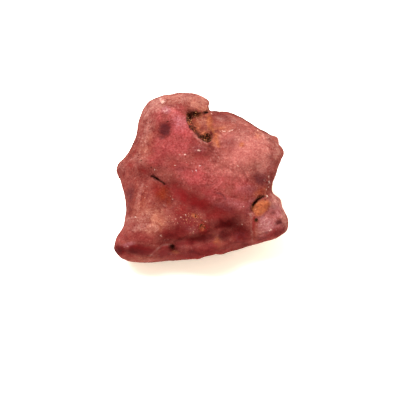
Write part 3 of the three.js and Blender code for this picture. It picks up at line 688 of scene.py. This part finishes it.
# Gives the carved lump its skin: relief, lines, and a mask for each kind of stain.
def wornSkin():
    tree, graph, size = newTree("wornSkin", ("Geometry", *skin), "Geometry")
    place = graph.add("GeometryNodeInputPosition")
    smoothed = blurred(graph, place, size["passes"])
    inputs = {"Geometry": size["Geometry"], "Position": smoothed}
    smooth = graph.add("GeometryNodeSetPosition", {}, inputs)
    across, up, out = drawingOf(graph, place)
    front = graph.step(out, -0.6, 0.5)
    flat = graph.add("ShaderNodeCombineXYZ", {}, {0: across, 1: up})
    fine = graph.drift(place, 0.35, 0.10)
    flatFine = graph.vector("ADD", flat, fine)
    drifted = graph.vector("ADD", graph.vector("ADD", place, graph.drift(place, 1.1, 0.26)), fine)
    acrossDrift, upDrift, _ = drawingOf(graph, drifted)
    # stains, kept as one mask for each kind
    ragged = graph.noise(place, 0.8, 4) * 0.35
    broad = (acrossDrift, upDrift, ragged)
    narrow = (across, up, ragged * 0.5)
    masks = {kind: 0.0 for kind in stainKinds}
    stainTree = stainSum()
    for kind, stains in faceStains.items():
        for stain in stains:
            where = narrow if max(stain[2:4]) < smallStain else broad
            masks[kind] = stainOf(graph, stainTree, where, stain).most(masks[kind])
    lift = 0.0
    for name, (width, height, kind, strength, points) in faceLines.items():
        away = distanceTo(graph, drawnMesh(name, points, False), flatFine, "EDGES")
        lift = (1 - graph.step(away, 0.2 * width, 1.7 * width)) * height + lift
        mask = (1 - graph.step(away, 0.4 * width, 2.0 * width)) * strength
        masks[kind] = mask.most(masks[kind])
    for kind in stainKinds:
        masks[kind] = masks[kind] * front
    for kind, (cloudSize, low, high, strength) in backStains.items():
        moved = graph.vector("ADD", drifted, (11.0 * len(kind), 7.0 * cloudSize, 3.0))
        cloud = graph.step(graph.noise(moved, cloudSize, 3), low, high) * strength * (1 - front)
        masks[kind] = masks[kind] + cloud
    # the relief, with nothing on the worn flat
    swell = graph.noise(place, 2.2, 1) * size["swellHeight"]
    lumps = graph.noise(place, 0.75, 3, 0.4) * size["lumpHeight"]
    grit = graph.noise(place, 0.2, 2) * size["gritHeight"]
    chosen = graph.step(graph.cells(place, 0.5, "Color"), 0.55, 0.7)
    dimple = (1 - graph.step(graph.cells(place, 0.5), 0.1, 0.45)) * chosen * size["dimpleDepth"]
    crystal = (0.5 - graph.cells(place, 0.3)) * masks["soot"] * size["crystalHeight"]
    height = graph.add("ShaderNodeSeparateXYZ", {}, {0: place}, 2)
    offFlat = graph.step(height, 0.02, 0.5)
    relief = (swell + lumps + grit - dimple + crystal + size["regrow"]) * offFlat
    normal = graph.add("GeometryNodeInputNormal")
    shift = graph.vector("ADD", graph.scaled(normal, relief), graph.scaled(faceOut, lift * front))
    result = graph.add("GeometryNodeSetPosition", {}, {"Geometry": smooth, "Offset": shift})
    for kind in stainKinds:
        settings = {"data_type": "FLOAT", "domain": "POINT"}
        inputs = {"Geometry": result, "Name": kind, "Value": masks[kind]}
        result = graph.add("GeometryNodeStoreNamedAttribute", settings, inputs)
    shaded = graph.add("GeometryNodeSetShadeSmooth", {}, {"Geometry": result})
    material = bpy.data.materials["garnetCrystal"]
    endTree(tree, graph.add("GeometryNodeSetMaterial", {}, {"Geometry": shaded, "Material": material}))
    return tree


def makeMaterial(name):
    material = bpy.data.materials.new(name)
    material.use_nodes = True
    material.node_tree.nodes.clear()
    return material, Graph(material.node_tree)


def endMaterial(graph, surface, volume=None):
    output = graph.tree.nodes.new("ShaderNodeOutputMaterial")
    graph.tree.links.new(surface.socket, output.inputs["Surface"])
    if volume:
        graph.tree.links.new(volume.socket, output.inputs["Volume"])


# The crystal's colours, each with full strength under its own mask.
tints = {
    "duskyRose": (0.086, 0.015, 0.013, 1),
    "lightRose": (0.135, 0.031, 0.026, 1),
    "pale": (0.235, 0.098, 0.086, 1),
    "rose": (0.228, 0.037, 0.041, 1),
    "salmon": (0.264, 0.080, 0.072, 1),
    "peach": (0.215, 0.070, 0.048, 1),
    "mauve": (0.205, 0.068, 0.080, 1),
    "amber": (0.110, 0.013, 0.005, 1),
    "deep": (0.100, 0.004, 0.005, 1),
    # painted shade, near black red
    "dark": (0.026, 0.0005, 0.0008, 1),
    "plum": (0.042, 0.007, 0.009, 1),
    "rustDark": (0.095, 0.020, 0.009, 1),
    "rustLight": (0.255, 0.072, 0.030, 1),
    # dark dirt, also used as painted shade in the pits and under the lips
    "soot": (0.014, 0.004, 0.002, 1),
    "gold": (0.50, 0.24, 0.11, 1),
    "frost": (0.42, 0.22, 0.19, 1),
    # painted highlights and glints, and pale chips
    "bright": (0.42, 0.28, 0.24, 1),
}

# The crystal's finish, apart from its colours. The lengths are in millimetres.
finish = {
    "roughness": 0.58,
    "polish": 0.12,  # roughness of the polished specks
    "index": 1.76,  # garnet's refractive index
    "clearness": 0.08,  # how much light goes straight through
    "absorption": 300.0,
    "scatter": 0.3,
    "scatterDepth": 0.5,
    "frosting": 0.2,
    # how strongly the bright flecks show, partly pale chips and partly painted glints
    "flecks": 0.7,
    "bumpStrength": 0.5,
    "bumpHeight": 0.05,
}


def garnetCrystal():
    material, graph = makeMaterial("garnetCrystal")
    place = graph.scaled(graph.add("ShaderNodeTexCoord", {}, {}, "Object"), 1 / millimetre)
    masks = {}
    for kind in stainKinds:
        masks[kind] = graph.add("ShaderNodeAttribute", {"attribute_name": kind}, {}, "Fac")
    cloud = graph.noise(place, 1.5, 3, 0.8)
    mottle = graph.noise(place, 0.55, 3, 0.7)
    fleck = graph.noise(place, 0.16, 2, 0.3)
    drifted = graph.vector("ADD", place, graph.drift(place, 2.0, 0.6))
    veinPlace = graph.vector("MULTIPLY", drifted, (0.45, 1.0, 1.0))
    vein = graph.noise(veinPlace, 0.28, 3, 0.6)
    colour = graph.mix(graph.step(cloud, -0.5, 0.5), tints["duskyRose"], tints["lightRose"])
    # each kind over the last; the near black red is painted shade, some pale and mauve stains are painted
    # highlights, and one plum stain is painted shade
    for kind in ("pale", "salmon", "rose", "peach", "mauve", "amber", "deep", "plum", "dark"):
        ragged = masks[kind] * (1 - masks[kind]) * (mottle * 2.2 + fleck * 0.8)
        colour = graph.mix((masks[kind] + ragged).most(0.0).least(1.0), colour, tints[kind])
    # rust, from dark amber to orange
    amber = graph.step(mottle + cloud * 0.5 + fleck * 0.1, -0.6, 0.3)
    amber = graph.mix(amber, tints["rustDark"], tints["rustLight"])
    rusty = masks["rust"] * (1 - masks["rust"]) * (mottle * 2.0 + fleck * 0.6)
    colour = graph.mix((masks["rust"] + rusty).most(0.0).least(1.0), colour, amber)
    # light and dark mottling through all of it
    clear = (1 - masks["deep"] * 0.5) * (1 - masks["rust"] * 0.5) * (1 - masks["salmon"] * 0.4)
    fine = graph.noise(place, 0.09, 1)
    mottling = (cloud * 0.15 + mottle * 0.24 + vein * 0.36 + fleck * 0.5 + fine * 0.5).most(-0.6) * clear
    shading = {0: 1 + mottling * 0.8, 1: 1 + mottling * 1.5, 2: 1 + mottling * 1.4}
    colour = graph.vector("MULTIPLY", colour, graph.add("ShaderNodeCombineXYZ", {}, shading))
    # frosting, where the skin isn't worn away
    worn = (1 - masks["deep"] * 0.9) * (1 - masks["dark"]) * (1 - masks["plum"] * 0.8) * (1 - masks["soot"])
    worn = worn * (1 - masks["rose"] * 0.6)
    streak = graph.noise(graph.vector("MULTIPLY", veinPlace, (0.5, 1.0, 1.0)), 0.13, 2)
    frosting = mottle * 0.6 + fleck + vein * 0.4 + streak * 0.5 + masks["pale"] * 0.2
    frosting = graph.step(frosting, 0.2, 0.9) * worn
    colour = graph.mix(frosting * finish["frosting"], colour, tints["frost"])
    # bright flecks, partly pale chips and partly painted glints, thickest where the skin is pitted
    crowd = cloud * 0.15 + masks["gold"] * 0.32 + masks["pale"] * 0.05
    small = graph.step(graph.noise(place, 0.10, 1) + crowd * 0.92, 0.56, 0.68)
    large = graph.step(graph.noise(place, 0.19, 1, 0.5) + crowd * 0.4, 0.58, 0.72)
    bright = small.most(large) * worn.most(masks["gold"])
    fleckTint = graph.mix(masks["gold"] * 0.8, tints["frost"], tints["gold"])
    colour = graph.mix(bright * finish["flecks"], colour, fleckTint)
    # painted highlights and glints, with a few pale chips, set one by one on the face
    spots = graph.step(masks["bright"] + fleck * 0.7, 0.3, 1.0)
    colour = graph.mix(spots, colour, tints["bright"])
    # dark dirt in the pits, and painted shade in the pits, the seam, the cleft and the socket
    dirtAndShade = graph.step(masks["soot"] + fleck * 0.45 + mottle * 0.2, 0.25, 0.75)
    colour = graph.mix(dirtAndShade, colour, tints["soot"])
    # polished specks that catch the light
    glint = graph.step(graph.noise(place, 0.24, 1, 0.4) + masks["gloss"] * 0.35 + cloud * 0.05, 0.6, 0.7)
    bump = graph.add(
        "ShaderNodeBump",
        {},
        {
            "Strength": finish["bumpStrength"],
            "Distance": finish["bumpHeight"] * millimetre,
            "Height": fleck + vein * 0.8 + bright * 0.5,
        },
    )
    shader = graph.add(
        "ShaderNodeBsdfPrincipled",
        {},
        {
            "Base Color": colour,
            "Roughness": finish["roughness"] - masks["deep"] * 0.1 + masks["rust"] * 0.15 + mottle * 0.08,
            "Normal": bump,
            "IOR": finish["index"],
            "Specular IOR Level": 0.0,  # only the polished specks shine
            "Specular Tint": (1.0, 0.35, 0.35, 1),
            "Transmission Weight": finish["clearness"],
            "Coat Weight": glint,
            "Coat Roughness": finish["polish"],
            "Coat IOR": finish["index"],
            "Subsurface Weight": finish["scatter"],
            "Subsurface Radius": (1.0, 0.3, 0.25),
            "Subsurface Scale": finish["scatterDepth"] * millimetre,
        },
    )
    inputs = {"Color": (0.9, 0.25, 0.3, 1), "Density": finish["absorption"]}
    endMaterial(graph, shader, graph.add("ShaderNodeVolumeAbsorption", {}, inputs))


def buildStone():
    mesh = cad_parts["garnet"].data.copy()
    mesh.transform(Matrix.Scale(1 / millimetre, 4))
    piece = addObject("garnetStone", mesh)
    weld = piece.modifiers.new("weld", "WELD")
    weld.merge_threshold = 0.001
    garnetCrystal()
    addRemesh(piece)
    print("garnet: carving the lump")
    addTree(piece, carvedLump(), carving)
    addRemesh(piece)
    print("garnet: giving it its worn skin")
    addTree(piece, wornSkin(), skin)
    bakeDown(piece)
    return piece


# Broken bits of rusty crystal, caught in the cleft and the pits.
crumbs = {
    "perSquareMillimetre": 90.0,
    "smallest": 0.035,  # radius in millimetres
    "largest": 0.11,
    "seed": 4,
}
crumbRoughness = 0.035  # how far their points are pushed about


def scatteredCrumbs():
    tree, graph, size = newTree("scatteredCrumbs", ("Geometry", *crumbs), "Geometry")
    caught = graph.add("GeometryNodeInputNamedAttribute", {"data_type": "FLOAT"}, {"Name": "crumb"})
    density = graph.step(caught, 0.1, 0.9) * size["perSquareMillimetre"]
    settings = {"distribute_method": "RANDOM"}
    inputs = {"Mesh": size["Geometry"], "Density": density, "Seed": size["seed"]}
    points = graph.add("GeometryNodeDistributePointsOnFaces", settings, inputs, "Points")
    bit = graph.add("GeometryNodeMeshIcoSphere", {}, {"Radius": 1.0, "Subdivisions": 1})
    wholeTurn = (6.3, 6.3, 6.3)
    turn = graph.add("FunctionNodeRandomValue", {"data_type": "FLOAT_VECTOR"}, {"Max": wholeTurn, "Seed": 1})
    radius = graph.add("FunctionNodeRandomValue", {}, {2: 0.0, 3: 1.0, "Seed": 2}, 1) ** 2
    radius = radius * (size["largest"] - size["smallest"]) + size["smallest"]
    stretch = graph.add(
        "FunctionNodeRandomValue",
        {"data_type": "FLOAT_VECTOR"},
        {"Min": (0.6, 0.6, 0.5), "Max": (1.5, 1.0, 0.9), "Seed": 3},
    )
    inputs = {"Points": points, "Instance": bit, "Rotation": turn, "Scale": graph.scaled(stretch, radius)}
    placed = graph.add("GeometryNodeInstanceOnPoints", {}, inputs)
    # a tone for each, from dirt to gold
    tone = graph.add("FunctionNodeRandomValue", {}, {2: 0.0, 3: 1.0, "Seed": 5}, 1)
    settings = {"data_type": "FLOAT", "domain": "INSTANCE"}
    inputs = {"Geometry": placed, "Name": "tone", "Value": tone}
    placed = graph.add("GeometryNodeStoreNamedAttribute", settings, inputs)
    real = graph.add("GeometryNodeRealizeInstances", {}, {"Geometry": placed})
    place = graph.add("GeometryNodeInputPosition")
    broken = graph.drift(place, 0.08, crumbRoughness)
    rough = graph.add("GeometryNodeSetPosition", {}, {"Geometry": real, "Offset": broken})
    material = bpy.data.materials["rustyCrumb"]
    endTree(tree, graph.add("GeometryNodeSetMaterial", {}, {"Geometry": rough, "Material": material}))
    return tree


def rustyCrumb():
    material, graph = makeMaterial("rustyCrumb")
    tone = graph.add("ShaderNodeAttribute", {"attribute_name": "tone"}, {}, "Fac")
    colour = graph.mix(graph.step(tone, 0.15, 0.6), tints["soot"], tints["rustDark"])
    colour = graph.mix(graph.step(tone, 0.8, 0.92), colour, tints["rustLight"])
    colour = graph.mix(graph.step(tone, 0.93, 0.99), colour, tints["gold"])
    inputs = {"Base Color": colour, "Roughness": 0.4, "Specular IOR Level": 0.12}
    inputs["Specular Tint"] = (1.0, 0.6, 0.35, 1)
    endMaterial(graph, graph.add("ShaderNodeBsdfPrincipled", {}, inputs))


# The crumbs sit on the finished stone, so this comes after it.
def buildCrumbs(stone):
    rustyCrumb()
    piece = addObject("rustCrumbs", stone.data.copy())
    addTree(piece, scatteredCrumbs(), crumbs)
    bakeDown(piece)
    return piece


# Makes the evaluated object its own plain mesh, with no modifiers left.
def bakeDown(piece):
    depsgraph = bpy.context.evaluated_depsgraph_get()
    made = bpy.data.meshes.new_from_object(piece.evaluated_get(depsgraph), depsgraph=depsgraph)
    piece.modifiers.clear()
    piece.data = made
    print("garnet:", piece.name, "has", len(made.polygons), "faces")


# The light is a bright tent all round, darker where the camera looks in, and one softbox above.
light = {
    "tentColour": (1.0, 0.87, 0.70, 1),
    "tentStrength": 1.8,
    "tentLean": 0.35,  # how much brighter it is from the right
    "gapStrength": 0.7,  # what is left of it round the camera
    "gapEdge": 0.55,  # cosines of the angles from the camera at which the gap begins and is full
    "gapMiddle": 0.95,
    "floorGlow": 0.38,  # the floor is a light table
    "boxPlace": (-0.08, 0.02, 0.27),
    "boxSize": 0.16,
    "boxWatts": 1.8,
}


def addFloor():
    bpy.ops.mesh.primitive_plane_add(size=1)
    floor = bpy.context.object
    floor.name = "floor"
    material, graph = makeMaterial("paleFloor")
    inputs = {"Base Color": (0.9, 0.9, 0.9, 1), "Roughness": 0.9, "Specular IOR Level": 0.0}
    inputs["Emission Color"] = light["tentColour"]
    inputs["Emission Strength"] = light["floorGlow"]
    endMaterial(graph, graph.add("ShaderNodeBsdfPrincipled", {}, inputs))
    floor.data.materials.append(material)


def addLight():
    world = bpy.data.worlds.new("studio")
    bpy.context.scene.world = world
    world.use_nodes = True
    graph = Graph(world.node_tree)
    direction = graph.add("ShaderNodeTexCoord", {}, {}, "Generated")
    towardCamera = graph.vector("DOT_PRODUCT", direction, faceOut)
    gap = 1 - graph.step(towardCamera, light["gapEdge"], light["gapMiddle"]) * (1 - light["gapStrength"])
    side = graph.vector("DOT_PRODUCT", direction, faceRight) * light["tentLean"] + 1
    strength = gap * side * light["tentStrength"]
    background = world.node_tree.nodes["Background"]
    background.inputs["Color"].default_value = light["tentColour"]
    graph.feed(background.inputs["Strength"], strength)
    lamp = bpy.data.lights.new("softbox", "AREA")
    lamp.size = light["boxSize"]
    lamp.energy = light["boxWatts"]
    holder = addObject("softbox", lamp)
    holder.location = light["boxPlace"]
    holder.rotation_euler = (-Vector(light["boxPlace"])).to_track_quat("-Z", "Y").to_euler()
    bpy.context.scene.view_settings.view_transform = "Standard"


# The camera looks square at the broad face.
view = {
    "lens": 150,
    "distance": 146.2,  # millimetres from the drawing's middle
    "aimBelow": 1.754,  # how far under the drawing's middle it aims
}


def addCamera():
    camera = bpy.data.cameras.new("camera")
    camera.lens = view["lens"]
    camera.sensor_width = 36
    camera.clip_start = 0.001
    holder = addObject("camera", camera)
    aim = Vector(face["middle"]) - faceUp * view["aimBelow"]
    holder.location = (aim + faceOut * view["distance"]) * millimetre
    holder.rotation_euler = (-faceOut).to_track_quat("-Z", "Y").to_euler()
    bpy.context.scene.camera = holder


garnet = buildStone()
caughtCrumbs = buildCrumbs(garnet)
for helper in helpers:
    bpy.data.objects.remove(helper)
for piece in (garnet, caughtCrumbs):
    piece.data.transform(Matrix.Scale(millimetre, 4))
    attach(piece, "root")
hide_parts("garnet")
addFloor()
addLight()
addCamera()
print("garnet: the floor, the light and the camera are in")
